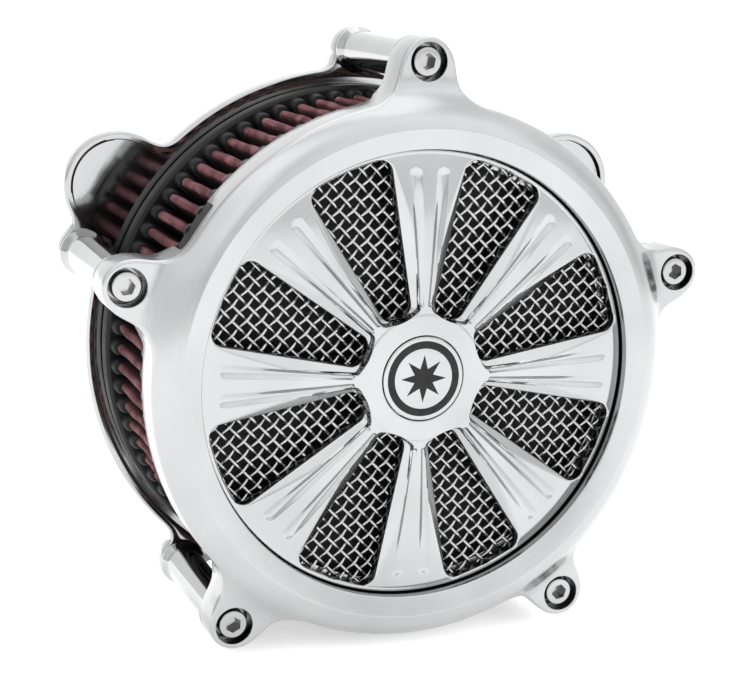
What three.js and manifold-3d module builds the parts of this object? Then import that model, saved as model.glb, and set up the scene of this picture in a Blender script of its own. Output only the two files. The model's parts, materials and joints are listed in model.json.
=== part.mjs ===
// A round air cleaner for a V-twin motorcycle: backplate, pleated element and polished front cover.
//
// Every piece is shaped with z along the air cleaner's axis, z = 0 on the backplate's rear face and
// +z out of the cover's front. The group then stands the whole assembly on the backplate's rim, with
// the axis level and the front facing -Y.
import * as THREE from "three";
import { mergeVertices } from "three/addons/utils/BufferGeometryUtils.js";
import Module from "manifold-3d";

// ---- driving dimensions, in millimetres and degrees ----
const GAP = 0.3; // between pieces that touch

// Five screw ears, the first one straight up
const EAR_ANGLES = [90, 162, 234, 306, 18];
const EAR_CIRCLE_RADIUS = 100.2;
const EAR_RADIUS = 8;

// Backplate
const PLATE_RADIUS = 93.8;
const PLATE_FLOOR = 4;
const LIP_TOP = 6.2;
const LIP_WIDTH = 2.6;
const PLATE_BLEND = 8;
const BREATHER_LOBE = { x: 83, y: 53, radius: 18.5 };
const REAR_BOSS_DEPTH = 4;
const REAR_BOSS_RADIUS = 46;
const BREATHER_BOSS_RADIUS = 12;

// Intake: bore, bell-mouth ring, gasket and its three screws
const BORE_RADIUS = 26;
const INTAKE_RING_RADIUS = 41;
const BELL_TOP = 21;
const INTAKE_SCREW_CIRCLE = 34.5;
const INTAKE_SCREW_ANGLES = [90, 210, 330];
const GASKET_RADIUS = 29.6;

// Breather bolts
const BREATHER_BOLT = { x: 50, y: 20, shankRadius: 6.2, headAcrossFlats: 17.5 };

// Posts between the backplate and the cover
const POST_RADIUS = 6.5;
const POST_END_RADIUS = 7.9;
const POST_HOLE_RADIUS = 3.4;

// Filter element
const REAR_CAP_TOP = 12;
const REAR_CAP_RADIUS = 88.3;
const FRONT_CAP_RADIUS = 86.8;
const FRONT_CAP_BASE = 57;
const FRONT_CAP_TOP = 66.4;
const PLEAT_COUNT = 78;
const PLEAT_OUTER_RADIUS = 85.5;
const PLEAT_VALLEY_RADIUS = 76;
const PLEAT_INNER_RADIUS = 67.4;
const INNER_SCREEN = { inner: 66.1, outer: 66.9 };

// Cover ring
const RING_RADIUS = 88.5;
const RING_BOTTOM = 61.8;
const RING_SHOULDER = 74;
const CREASE = { radius: 80.3, z: 79.6 };
const RING_EDGE = { radius: 73.6, z: 78.2 };
const RING_CEILING = 66.7;
const RING_BORE_RADIUS = 87.1;
const LEDGE_TOP = 68.4;
const LEDGE_RADIUS = 70.5;
const NOTCH = { angle: 33.5, width: 17, top: 66.2 };
const EAR_FRONT = 70.5;
const EAR_REAR = 58;
const COVER_BLEND = 15;
const COUNTERBORE = { radius: 6.25, floor: 61.6 };

// Face insert: a shallow dome with eight windows between fluted spokes
const SPOKES = 8;
const INSERT = { radius: 73.2, rear: 70.6, rim: 74.5, hub: 77.7, hubRadius: 20.7 };
const WINDOW = { outer: 71.8, outerCorner: 4.1, innerCorner: 3.8 };
const SPOKE_TAPER = 0.192;
const SPOKE_HALF_WIDTH_AT_AXIS = -0.3;
const FLUTE = { from: 24, to: 66.5, depth: 0.9, endLength: 2 };
const FLUTE_OFFSET = { inner: 1.5, outer: 3.3 };
const FLUTE_HALF_WIDTH = { inner: 1, outer: 2.1 };

// Wire screen, its clamping screws and the badge in the middle
const SCREEN = { radius: 73, rear: 68.7, front: 70.3 };
const INSERT_SCREW_CIRCLE = 65.5;
const INSERT_SCREW_ANGLES = [45, 135, 225, 315];
const BADGE = { radius: 13.8, floor: 76.4, top: 78, stemRadius: 4 };
const BADGE_RING = { inner: 10, outer: 12.3 };
const BADGE_STAR = { points: 8, inner: 3.4, outer: 7.8 };
const INLAY_DEPTH = 0.7;

// Cover screws: 1/4 inch socket head cap screws, each on a plain washer
const SCREW = { headRadius: 4.75, headBase: 63.2, headTop: 69.3, shankRadius: 3.1, tip: 45.6 };
const SCREW_CLEARANCE_RADIUS = 3.5;
const HEX_ACROSS_FLATS = 4.8;
const WASHER = { radius: 5.9, thickness: 1 };

const BOLT_TIP = -20; // the breather bolts reach furthest behind the backplate
const AXIS_HEIGHT = PLATE_RADIUS;

const LARGE = 48; // sides of a large circle
const MEDIUM = 28;
const SMALL = 16;

// ---- solids ----
const wasm = await Module();
wasm.setup();

function radians(degrees) {
  return (degrees * Math.PI) / 180;
}

function polar(radius, degrees) {
  return [radius * Math.cos(radians(degrees)), radius * Math.sin(radians(degrees))];
}

// A closed three.js geometry as a manifold solid.
function solid(geometry) {
  const bare = geometry.index ? geometry.toNonIndexed() : geometry;
  const positionsOnly = new THREE.BufferGeometry();
  positionsOnly.setAttribute("position", bare.getAttribute("position"));
  const merged = mergeVertices(positionsOnly, 1e-4);
  const corners = merged.index.array;
  const faces = [];
  for (let i = 0; i < corners.length; i += 3) {
    const [a, b, c] = [corners[i], corners[i + 1], corners[i + 2]];
    if (a !== b && b !== c && c !== a) faces.push(a, b, c);
  }
  return new wasm.Manifold(
    new wasm.Mesh({
      numProp: 3,
      vertProperties: merged.attributes.position.array,
      triVerts: new Uint32Array(faces),
    }),
  );
}

// A body of revolution. The profile's [radius, z] points run anticlockwise, rising on the outside.
function revolve(profile, segments = LARGE, closed = true) {
  const points = profile.map(([radius, z]) => new THREE.Vector2(radius, z));
  if (closed) points.push(points[0].clone());
  return solid(new THREE.LatheGeometry(points, segments).rotateX(Math.PI / 2));
}

function tube(inner, outer, z0, z1, segments = LARGE) {
  return revolve([[inner, z0], [outer, z0], [outer, z1], [inner, z1]], segments);
}

function rod(radius, z0, z1, segments = SMALL, topRadius = radius) {
  const cylinder = new THREE.CylinderGeometry(topRadius, radius, z1 - z0, segments);
  return solid(cylinder.rotateX(Math.PI / 2).translate(0, 0, (z0 + z1) / 2));
}

function hexagon(acrossFlats, z0, z1) {
  return rod(acrossFlats / Math.sqrt(3), z0, z1, 6);
}

function box(x, y, z, width, height, depth) {
  return solid(new THREE.BoxGeometry(width, height, depth).translate(x, y, z));
}

function prism(points, z0, z1) {
  const shape = new THREE.Shape(points.map(([x, y]) => new THREE.Vector2(x, y)));
  const geometry = new THREE.ExtrudeGeometry(shape, { depth: z1 - z0, bevelEnabled: false });
  return solid(geometry.translate(0, 0, z0));
}

// ---- outlines, each the zero line of a distance function ----

function smoothUnion(a, b, blend) {
  const overlap = Math.max(blend - Math.abs(a - b), 0) / blend;
  return Math.min(a, b) - (overlap * overlap * blend) / 4;
}

function roundedIntersection(a, b, radius) {
  const corner = Math.hypot(Math.max(a + radius, 0), Math.max(b + radius, 0));
  return Math.min(Math.max(a, b), -radius) + corner;
}

// Walks the directions round a centre and finds where the distance turns positive on each.
function traceOutline(distance, directions, centre = [0, 0], reach = 130) {
  return directions.map((direction) => {
    const [dx, dy] = polar(1, direction);
    let inside = 0;
    let outside = reach;
    for (let step = 0; step < 30; step++) {
      const middle = (inside + outside) / 2;
      if (distance(centre[0] + middle * dx, centre[1] + middle * dy) < 0) inside = middle;
      else outside = middle;
    }
    return [centre[0] + inside * dx, centre[1] + inside * dy];
  });
}

// Directions all the way round, mirrored left to right: coarse steps, with fine ones near a lobe.
function directionsWithLobes(lobeAngles, halfSpan, fine, coarse) {
  const right = [];
  let angle = -90;
  while (angle < 90) {
    right.push(angle);
    const fromLobes = lobeAngles.map((lobe) => Math.abs(((angle - lobe + 540) % 360) - 180));
    angle += Math.min(...fromLobes) < halfSpan ? fine : coarse;
  }
  right.push(90);
  const left = right.slice(1, -1).reverse();
  return [...right, ...left.map((direction) => 180 - direction)];
}

// A disc with round lobes blended into it.
function lobedDisc(discRadius, lobes, blend) {
  return (x, y) => {
    const disc = Math.hypot(x, y) - discRadius;
    return lobes.reduce(
      (sum, lobe) => smoothUnion(sum, Math.hypot(x - lobe.x, y - lobe.y) - lobe.radius, blend),
      disc,
    );
  };
}

const earLobes = EAR_ANGLES.map((angle) => {
  const [x, y] = polar(EAR_CIRCLE_RADIUS, angle);
  return { x, y, radius: EAR_RADIUS };
});

const breatherLobes = [1, -1].map((side) => ({ ...BREATHER_LOBE, x: side * BREATHER_LOBE.x }));
const breatherAngle = (Math.atan2(BREATHER_LOBE.y, BREATHER_LOBE.x) * 180) / Math.PI;
const breatherAngles = [breatherAngle, 180 - breatherAngle];

// ---- materials ----
function material(color, roughness, metalness) {
  return new THREE.MeshStandardMaterial({ color, roughness, metalness });
}

const chrome = material(0xe4e5e6, 0.08, 1);
const screwSteel = material(0xc9cacc, 0.25, 1);
const wire = material(0xb9bbbd, 0.3, 1);
const rubber = material(0x1c1c1e, 0.75, 0);
const gauze = material(0x8d4a52, 0.9, 0);
const enamel = material(0x0b0b0c, 0.35, 0);
const copper = material(0xb0764f, 0.4, 1);

// ---- the assembly ----
const airCleaner = new THREE.Group();
airCleaner.rotation.x = Math.PI / 2;
airCleaner.position.set(0, (CREASE.z + BOLT_TIP) / 2, AXIS_HEIGHT);
const assembly = new THREE.Group();
assembly.add(airCleaner);

function add(name, body, finish) {
  const { numProp, vertProperties, triVerts } = body.getMesh();
  const geometry = new THREE.BufferGeometry();
  const buffer = new THREE.InterleavedBuffer(vertProperties, numProp);
  geometry.setAttribute("position", new THREE.InterleavedBufferAttribute(buffer, 3, 0));
  geometry.setIndex(new THREE.BufferAttribute(triVerts, 1));
  const mesh = new THREE.Mesh(geometry.toNonIndexed(), finish);
  mesh.name = name;
  airCleaner.add(mesh);
}

function backplate() {
  const angles = [...EAR_ANGLES, ...breatherAngles];
  const outer = lobedDisc(PLATE_RADIUS, [...earLobes, ...breatherLobes], PLATE_BLEND);
  const inner = lobedDisc(PLATE_RADIUS, breatherLobes, PLATE_BLEND);
  const pocket = (x, y) => inner(x, y) + LIP_WIDTH;
  const outline = traceOutline(outer, directionsWithLobes(angles, 9, 2.5, 7.5));
  const floorOutline = traceOutline(pocket, directionsWithLobes(breatherAngles, 14, 3, 7.5));
  let plate = prism(outline, 0, LIP_TOP).subtract(prism(floorOutline, PLATE_FLOOR, LIP_TOP + 1));
  plate = plate.add(rod(REAR_BOSS_RADIUS, -REAR_BOSS_DEPTH, 1, LARGE));
  for (const side of [1, -1]) {
    const place = [side * BREATHER_BOLT.x, BREATHER_BOLT.y, 0];
    const boss = rod(BREATHER_BOSS_RADIUS, -REAR_BOSS_DEPTH, 1, 20);
    const hole = rod(BREATHER_BOLT.shankRadius + GAP, -9, 9, SMALL);
    plate = plate.add(boss.translate(place)).subtract(hole.translate(place));
  }
  // The gasket lies in a recess round the bore's rear mouth.
  plate = plate.subtract(rod(BORE_RADIUS, -9, 9, MEDIUM));
  const recess = tube(BORE_RADIUS - 1, GASKET_RADIUS + GAP, -9, GAP + 1.5 - REAR_BOSS_DEPTH, MEDIUM);
  plate = plate.subtract(recess);
  for (const angle of INTAKE_SCREW_ANGLES) {
    const [x, y] = polar(INTAKE_SCREW_CIRCLE, angle);
    plate = plate.subtract(rod(SCREW_CLEARANCE_RADIUS, -9, 9).translate([x, y, 0]));
  }
  for (const { x, y } of earLobes) {
    const hole = rod(SCREW_CLEARANCE_RADIUS, -1, 9);
    const counterbore = rod(5.4, -1, 3.6);
    plate = plate.subtract(hole.add(counterbore).translate([x, y, 0]));
  }
  return plate;
}

// A post, waisted between its two flared ends, with a blind hole in each end.
function post() {
  const base = LIP_TOP + GAP;
  const top = EAR_REAR - GAP;
  return revolve(
    [
      [0, 24],
      [POST_HOLE_RADIUS, 24],
      [POST_HOLE_RADIUS, base],
      [POST_END_RADIUS, base],
      [POST_RADIUS, base + 6],
      [POST_RADIUS, top - 6],
      [POST_END_RADIUS, top],
      [POST_HOLE_RADIUS, top],
      [POST_HOLE_RADIUS, 40],
      [0, 40],
    ],
    SMALL,
    false,
  );
}

// A socket head cap screw from its tip to its head's top, pointing down -z.
function capScrew(spec, hexDepth, acrossFlats, segments = SMALL) {
  const { headRadius, headBase, headTop, shankRadius, tip } = spec;
  const shape = revolve(
    [
      [0, tip],
      [shankRadius, tip],
      [shankRadius, headBase],
      [headRadius, headBase],
      [headRadius, headTop],
      [0, headTop],
    ],
    segments,
    false,
  );
  return shape.subtract(hexagon(acrossFlats, headTop - hexDepth, headTop + 1));
}

function intakeRing() {
  const base = PLATE_FLOOR + GAP;
  const flange = base + 4;
  let ring = revolve(
    [
      [BORE_RADIUS, base],
      [INTAKE_RING_RADIUS, base],
      [INTAKE_RING_RADIUS, flange],
      [BORE_RADIUS + 2.4, flange],
      [BORE_RADIUS + 2.4, BELL_TOP - 4],
      [BORE_RADIUS + 4.5, BELL_TOP - 1],
      [BORE_RADIUS + 4, BELL_TOP],
      [BORE_RADIUS + 2, BELL_TOP - 1],
      [BORE_RADIUS + 0.4, BELL_TOP - 4],
    ],
    MEDIUM,
  );
  for (const angle of INTAKE_SCREW_ANGLES) {
    const [x, y] = polar(INTAKE_SCREW_CIRCLE, angle);
    ring = ring.subtract(rod(SCREW_CLEARANCE_RADIUS, 0, 20).translate([x, y, 0]));
  }
  return ring;
}

// A hollow hex bolt: crankcase breath comes up its drilled shank and out at the head.
function breatherBolt() {
  const seat = PLATE_FLOOR + GAP + 1.5 + GAP;
  const head = hexagon(BREATHER_BOLT.headAcrossFlats, seat, seat + 6);
  const shank = rod(BREATHER_BOLT.shankRadius, BOLT_TIP, seat + 1, 24);
  return head.add(shank).subtract(rod(3.5, BOLT_TIP - 1, seat + 7, 10));
}

function breatherWasher() {
  const base = PLATE_FLOOR + GAP;
  return tube(BREATHER_BOLT.shankRadius + GAP, 9.8, base, base + 1.5, SMALL);
}

function rearEndCap() {
  const base = PLATE_FLOOR + GAP;
  return revolve([
    [65.3, base],
    [REAR_CAP_RADIUS - 0.8, base],
    [REAR_CAP_RADIUS, base + 0.8],
    [REAR_CAP_RADIUS, REAR_CAP_TOP - 0.8],
    [REAR_CAP_RADIUS - 0.8, REAR_CAP_TOP],
    [65.3, REAR_CAP_TOP],
  ]);
}

// The front cap closes the element. Its middle is sunk to clear the screws behind the face.
function frontEndCap() {
  const webTop = FRONT_CAP_BASE + 4;
  return revolve(
    [
      [0, FRONT_CAP_BASE],
      [FRONT_CAP_RADIUS, FRONT_CAP_BASE],
      [FRONT_CAP_RADIUS, FRONT_CAP_TOP - 0.8],
      [FRONT_CAP_RADIUS - 0.8, FRONT_CAP_TOP],
      [76, FRONT_CAP_TOP],
      [73, webTop],
      [0, webTop],
    ],
    LARGE,
    false,
  );
}

// The media: a ring whose outside runs in sharp pleats.
function pleatedMedia() {
  const z0 = REAR_CAP_TOP + GAP;
  const z1 = FRONT_CAP_BASE - GAP;
  const points = [];
  for (let pleat = 0; pleat < PLEAT_COUNT; pleat++) {
    const angle = (360 * pleat) / PLEAT_COUNT;
    points.push(polar(PLEAT_OUTER_RADIUS, angle));
    points.push(polar(PLEAT_VALLEY_RADIUS, angle + 180 / PLEAT_COUNT));
  }
  return prism(points, z0, z1).subtract(rod(PLEAT_INNER_RADIUS, z0 - 1, z1 + 1, LARGE));
}

function innerScreen() {
  const { inner, outer } = INNER_SCREEN;
  return tube(inner, outer, REAR_CAP_TOP + GAP, FRONT_CAP_BASE - GAP, LARGE);
}

function coverRing() {
  let ring = revolve([
    [RING_BORE_RADIUS, RING_BOTTOM],
    [RING_RADIUS, RING_BOTTOM],
    [RING_RADIUS, RING_SHOULDER],
    [(RING_RADIUS + CREASE.radius) / 2, (RING_SHOULDER + CREASE.z) / 2 + 1],
    [CREASE.radius, CREASE.z],
    [RING_EDGE.radius, RING_EDGE.z],
    [RING_EDGE.radius, LEDGE_TOP],
    [LEDGE_RADIUS, LEDGE_TOP],
    [LEDGE_RADIUS, RING_CEILING],
    [RING_BORE_RADIUS, RING_CEILING],
  ]);
  // The ears run out of the ring's wall and slope down to flat pads.
  const earOutline = lobedDisc(RING_RADIUS - 0.7, earLobes, COVER_BLEND);
  const directions = directionsWithLobes(EAR_ANGLES, 14, 2.5, 7.5);
  const slope = revolve(
    [
      [0, EAR_REAR],
      [115, EAR_REAR],
      [115, EAR_FRONT],
      [94, EAR_FRONT],
      [86, RING_SHOULDER + 1],
      [0, RING_SHOULDER + 1],
    ],
    LARGE,
    false,
  );
  const bore = rod(RING_RADIUS - 0.25, EAR_REAR - 1, RING_SHOULDER + 3, LARGE);
  const ears = prism(traceOutline(earOutline, directions), EAR_REAR, RING_SHOULDER + 2);
  ring = ring.add(ears.intersect(slope).subtract(bore));
  for (const { x, y } of earLobes) {
    const counterbore = rod(COUNTERBORE.radius, COUNTERBORE.floor, EAR_FRONT + 9, 20);
    const hole = rod(SCREW_CLEARANCE_RADIUS, EAR_REAR - 1, EAR_FRONT);
    ring = ring.subtract(counterbore.add(hole).translate([x, y, 0]));
  }
  // Two notches in the wall face the backplate's breather lobes.
  for (const angle of [NOTCH.angle, 180 - NOTCH.angle]) {
    const height = NOTCH.top - RING_BOTTOM + 1;
    const cutter = box(RING_RADIUS, 0, NOTCH.top - height / 2, 12, NOTCH.width, height);
    ring = ring.subtract(cutter.rotate([0, 0, angle]));
  }
  // Four lugs under the spokes carry the insert's screws.
  for (const angle of INSERT_SCREW_ANGLES) {
    const lug = box(66.5, 0, (LEDGE_TOP + RING_CEILING) / 2, 9, 9, LEDGE_TOP - RING_CEILING);
    const hole = rod(1.8, RING_CEILING - 1, LEDGE_TOP + 1, 8).translate([INSERT_SCREW_CIRCLE, 0, 0]);
    ring = ring.add(lug.rotate([0, 0, angle])).subtract(hole.rotate([0, 0, angle]));
  }
  return ring;
}

// Signed distance to a window centred on the x axis: between two spokes, the hub and the rim.
function windowDistance(x, y) {
  const halfPitch = Math.PI / SPOKES;
  const side = Math.abs(y);
  const along = x * Math.cos(halfPitch) + side * Math.sin(halfPitch);
  const across = x * Math.sin(halfPitch) - side * Math.cos(halfPitch);
  const spokeHalfWidth = SPOKE_HALF_WIDTH_AT_AXIS + SPOKE_TAPER * along;
  const toSpoke = (spokeHalfWidth - across) / Math.hypot(1, SPOKE_TAPER);
  const radius = Math.hypot(x, y);
  const outerEnd = roundedIntersection(toSpoke, radius - WINDOW.outer, WINDOW.outerCorner);
  const innerEnd = roundedIntersection(toSpoke, INSERT.hubRadius - radius, WINDOW.innerCorner);
  return Math.max(outerEnd, innerEnd);
}

// Height of the insert's front face at a radius.
function domeHeight(radius) {
  const { hub, rim, hubRadius } = INSERT;
  const share = Math.max(radius - hubRadius, 0) / (WINDOW.outer - hubRadius);
  return hub - (hub - rim) * share * share;
}

function faceInsert() {
  const { radius, rear, rim, hubRadius } = INSERT;
  const dome = [WINDOW.outer, 56, 38, hubRadius].map((r) => [r, domeHeight(r)]);
  let insert = revolve(
    [[0, rear], [radius, rear], [radius, rim], ...dome, [0, INSERT.hub]],
    LARGE,
    false,
  );
  const steps = Array.from({ length: 20 }, (_, i) => i * 18);
  const opening = prism(traceOutline(windowDistance, steps, [48, 0], 60), rear - 1, 80);
  for (let i = 0; i < SPOKES; i++) {
    insert = insert.subtract(opening.rotate([0, 0, (360 * (i + 0.5)) / SPOKES]));
  }
  for (let i = 0; i < SPOKES; i++) {
    for (const side of [1, -1]) {
      insert = insert.subtract(flute(side).rotate([0, 0, (360 * i) / SPOKES]));
    }
  }
  // The badge sits in a round recess with a hole for its stem.
  insert = insert.subtract(rod(BADGE.radius + GAP, BADGE.floor - GAP, 90, MEDIUM));
  insert = insert.subtract(rod(BADGE.stemRadius + GAP, rear - 1, 90));
  for (const angle of INSERT_SCREW_ANGLES) {
    const [x, y] = polar(INSERT_SCREW_CIRCLE, angle);
    insert = insert.subtract(rod(1.8, rear - 1, rear + 2.9, 8).translate([x, y, 0]));
  }
  return insert;
}

// One of the two grooves along a spoke that lies on the x axis, as a cutter.
function flute(side) {
  const { from, to, depth, endLength } = FLUTE;
  const stations = [
    [from, 0.3],
    [from + endLength, 1],
    [to - endLength, 1],
    [to, 0.3],
  ];
  const sections = stations.map(([x, share]) => {
    const along = (x - from) / (to - from);
    const y = side * THREE.MathUtils.lerp(FLUTE_OFFSET.inner, FLUTE_OFFSET.outer, along);
    const half = share * THREE.MathUtils.lerp(FLUTE_HALF_WIDTH.inner, FLUTE_HALF_WIDTH.outer, along);
    const z = domeHeight(x);
    return [
      [x, y - half, z + 0.5],
      [x, y + half, z + 0.5],
      [x, y, z - depth * share],
    ];
  });
  const pieces = sections.slice(1).map((section, i) => wedge(sections[i], section));
  return pieces.reduce((cutter, piece) => cutter.add(piece));
}

// A solid between two triangles.
function wedge(first, second) {
  const corners = [...first, ...second].flat();
  const faces = [0, 1, 2, 3, 5, 4, 0, 3, 4, 0, 4, 1, 1, 4, 5, 1, 5, 2, 2, 5, 3, 2, 3, 0];
  const geometry = new THREE.BufferGeometry();
  geometry.setAttribute("position", new THREE.Float32BufferAttribute(corners, 3));
  geometry.setIndex(faces);
  return solid(geometry);
}

function wireScreen() {
  let screen = rod(SCREEN.radius, SCREEN.rear, SCREEN.front, LARGE);
  for (const angle of INSERT_SCREW_ANGLES) {
    const [x, y] = polar(INSERT_SCREW_CIRCLE, angle);
    screen = screen.subtract(rod(2.2, SCREEN.rear - 1, SCREEN.front + 1, 8).translate([x, y, 0]));
  }
  return screen;
}

// Seen from behind, so it points up +z.
function insertScrew() {
  const head = rod(2.8, RING_CEILING - GAP - 1.9, RING_CEILING - GAP, 12);
  const shank = rod(1.5, RING_CEILING - 1, 73.2, 8);
  const slot = box(0, 0, RING_CEILING - 2.2, 6, 0.8, 1.4);
  return head.add(shank).subtract(slot);
}

function centreBadge() {
  const disc = rod(BADGE.radius, BADGE.floor, BADGE.top, MEDIUM);
  const stem = rod(BADGE.stemRadius, 72, BADGE.floor + 0.5);
  const pocketFloor = BADGE.top - INLAY_DEPTH - GAP;
  const { inner, outer } = BADGE_RING;
  const groove = tube(inner - GAP, outer + GAP, pocketFloor, BADGE.top + 1, MEDIUM);
  const starPocket = prism(starPoints(GAP), pocketFloor, BADGE.top + 1);
  return disc.add(stem).subtract(groove).subtract(starPocket);
}

function starPoints(margin) {
  const { points, inner, outer } = BADGE_STAR;
  return Array.from({ length: 2 * points }, (_, i) => {
    const radius = i % 2 ? inner + margin : outer + 3 * margin;
    return polar(radius, 90 + (180 * i) / points);
  });
}

// A post's screw comes up through the backplate's ear from behind.
function postScrew() {
  const spec = { headRadius: 5, headBase: -3.3, headTop: -0.4, shankRadius: 3.1, tip: -20 };
  return capScrew(spec, 1.8, 4).mirror([0, 0, 1]);
}

function intakeScrew() {
  const seat = PLATE_FLOOR + GAP + 4 + GAP;
  const spec = { headRadius: 4.75, headBase: seat, headTop: seat + 6, shankRadius: 3.1, tip: -18 };
  return capScrew(spec, 3, HEX_ACROSS_FLATS, 24);
}

// Fixed pieces: the backplate and what is screwed to it
add("backplate", backplate(), chrome);
earLobes.forEach(({ x, y }, i) => {
  add(`post_${i + 1}`, post().translate([x, y, 0]), chrome);
  add(`post_screw_${i + 1}`, postScrew().translate([x, y, 0]), screwSteel);
});
add("intake_ring", intakeRing(), chrome);
add(
  "intake_gasket",
  tube(BORE_RADIUS + GAP, GASKET_RADIUS, -REAR_BOSS_DEPTH, 1.5 - REAR_BOSS_DEPTH, MEDIUM),
  rubber,
);
INTAKE_SCREW_ANGLES.forEach((angle, i) => {
  const [x, y] = polar(INTAKE_SCREW_CIRCLE, angle);
  add(`intake_screw_${i + 1}`, intakeScrew().translate([x, y, 0]), screwSteel);
});
for (const [side, label] of [[-1, "left"], [1, "right"]]) {
  const place = [side * BREATHER_BOLT.x, BREATHER_BOLT.y, 0];
  add(`breather_bolt_${label}`, breatherBolt().translate(place), screwSteel);
  add(`breather_washer_${label}`, breatherWasher().translate(place), copper);
}

// The filter element
add("rear_end_cap", rearEndCap(), rubber);
add("front_end_cap", frontEndCap(), rubber);
add("pleated_media", pleatedMedia(), gauze);
add("inner_screen", innerScreen(), wire);

// The front cover
add("cover_ring", coverRing(), chrome);
add("face_insert", faceInsert(), chrome);
add("wire_screen", wireScreen(), wire);
INSERT_SCREW_ANGLES.forEach((angle, i) => {
  const [x, y] = polar(INSERT_SCREW_CIRCLE, angle);
  add(`insert_screw_${i + 1}`, insertScrew().translate([x, y, 0]), screwSteel);
});
add("centre_badge", centreBadge(), chrome);
add(
  "badge_ring_inlay",
  tube(BADGE_RING.inner, BADGE_RING.outer, BADGE.top - INLAY_DEPTH, BADGE.top - 0.1, MEDIUM),
  enamel,
);
add("badge_star_inlay", prism(starPoints(0), BADGE.top - INLAY_DEPTH, BADGE.top - 0.1), enamel);

// The cover's screws and washers, each able to move on its own
earLobes.forEach(({ x, y }, i) => {
  const base = COUNTERBORE.floor + GAP;
  const washer = tube(SCREW_CLEARANCE_RADIUS, WASHER.radius, base, base + WASHER.thickness, SMALL);
  add(`cover_washer_${i + 1}`, washer.translate([x, y, 0]), screwSteel);
  add(`cover_screw_${i + 1}`, capScrew(SCREW, 3.2, HEX_ACROSS_FLATS).translate([x, y, 0]), screwSteel);
});

export default assembly;
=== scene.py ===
import json
import math

import bmesh
import bpy
import numpy as np
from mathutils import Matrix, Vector

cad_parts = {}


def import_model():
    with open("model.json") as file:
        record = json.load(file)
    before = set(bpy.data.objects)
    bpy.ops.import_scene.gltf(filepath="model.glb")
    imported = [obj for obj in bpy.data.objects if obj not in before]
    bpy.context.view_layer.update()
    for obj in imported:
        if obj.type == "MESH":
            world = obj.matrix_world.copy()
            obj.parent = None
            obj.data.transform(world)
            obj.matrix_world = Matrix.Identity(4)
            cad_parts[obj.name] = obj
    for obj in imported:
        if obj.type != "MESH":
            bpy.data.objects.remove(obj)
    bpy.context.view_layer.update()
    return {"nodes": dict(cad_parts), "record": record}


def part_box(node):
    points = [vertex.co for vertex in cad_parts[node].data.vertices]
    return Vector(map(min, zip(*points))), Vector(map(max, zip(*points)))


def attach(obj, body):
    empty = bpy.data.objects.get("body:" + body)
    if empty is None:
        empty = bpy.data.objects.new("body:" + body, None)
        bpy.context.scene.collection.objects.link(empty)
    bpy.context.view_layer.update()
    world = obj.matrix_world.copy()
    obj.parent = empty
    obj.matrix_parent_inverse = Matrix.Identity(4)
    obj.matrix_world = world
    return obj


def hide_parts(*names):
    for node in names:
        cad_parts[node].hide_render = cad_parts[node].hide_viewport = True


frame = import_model()
SLOTS = {part["node"]: part["material_slot"] for part in frame["record"]["subparts"]}
BODIES = {n: body for body, nodes in frame["record"]["behaviour"]["bodies"].items() for n in nodes}
MM = 0.001
TURN = 2 * math.pi

# The air cleaner's axis runs level along Y. Pieces are shaped in millimetres as (x, y, z): x right and
# y up as seen from the front, z forward from the backplate's rear face.
CAP_LOW, CAP_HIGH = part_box("front_end_cap")
AXIS_X = (CAP_LOW.x + CAP_HIGH.x) / 2
AXIS_Z = (CAP_LOW.z + CAP_HIGH.z) / 2
CREASE = (80.3, 79.6)  # radius and z of the cover's foremost circle
REAR_FACE_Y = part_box("cover_ring")[0].y + CREASE[1] * MM


def on_circle(radius, degrees):
    """Places at angles on a circle round the axis."""
    return [(radius * math.cos(math.radians(a)), radius * math.sin(math.radians(a))) for a in degrees]


# Five screw ears and two breather lobes as (x, y, radius), and the fittings' places on the backplate
EARS = [(x, y, 7.85) for x, y in on_circle(100.2, (90, 162, 234, 306, 18))]
BREATHER_LOBES = [(83, 53, 18.5), (-83, 53, 18.5)]
BREATHER_BOLTS = [(-50, 20), (50, 20)]
INTAKE_SCREWS = on_circle(34.5, (90, 210, 330))

# Radii of the 1/4 inch screws' shanks and of the holes that they pass
SHANK = 3.1
CLEARANCE = 3.5


# ---------------------------------------------------------------- mesh helpers


def world(points):
    """Local millimetres to the frame's metres."""
    p = np.asarray(points, float).reshape(-1, 3) * MM
    return np.stack([AXIS_X + p[:, 0], REAR_FACE_Y - p[:, 2], AXIS_Z + p[:, 1]], axis=1)


def show(name, data):
    """A new object in the scene."""
    obj = bpy.data.objects.new(name, data)
    bpy.context.scene.collection.objects.link(obj)
    return obj


def finish_mesh(mesh, sharp):
    """Smooth shading, with hard edges where faces meet at more than an angle in degrees."""
    mesh.shade_smooth()
    mesh.set_sharp_from_angle(angle=math.radians(sharp))


def piece(name, points, faces, material=None, body=None, replaces=(), slot=None, sharp=30):
    """A mesh from local points. It rides on a CAD body, and stands for the nodes it replaces."""
    mesh = bpy.data.meshes.new(name)
    mesh.from_pydata(world(points).tolist(), [], [tuple(int(i) for i in f) for f in faces])
    shell = bmesh.new()
    shell.from_mesh(mesh)
    bmesh.ops.remove_doubles(shell, verts=shell.verts, dist=1e-7)
    bmesh.ops.dissolve_degenerate(shell, edges=shell.edges, dist=1e-8)
    bmesh.ops.recalc_face_normals(shell, faces=shell.faces)
    shell.to_mesh(mesh)
    shell.free()
    finish_mesh(mesh, sharp)
    obj = show(name, mesh)
    if material:
        mesh.materials.append(material)
    if body:
        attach(obj, body)
    if replaces:
        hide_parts(*replaces)
    return obj


def stand_in(node, points, faces, material, sharp=30):
    """The detailed piece for one CAD node, on that node's body."""
    return piece(f"visual_{node}", points, faces, material, BODIES[node], [node], SLOTS[node], sharp)


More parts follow.
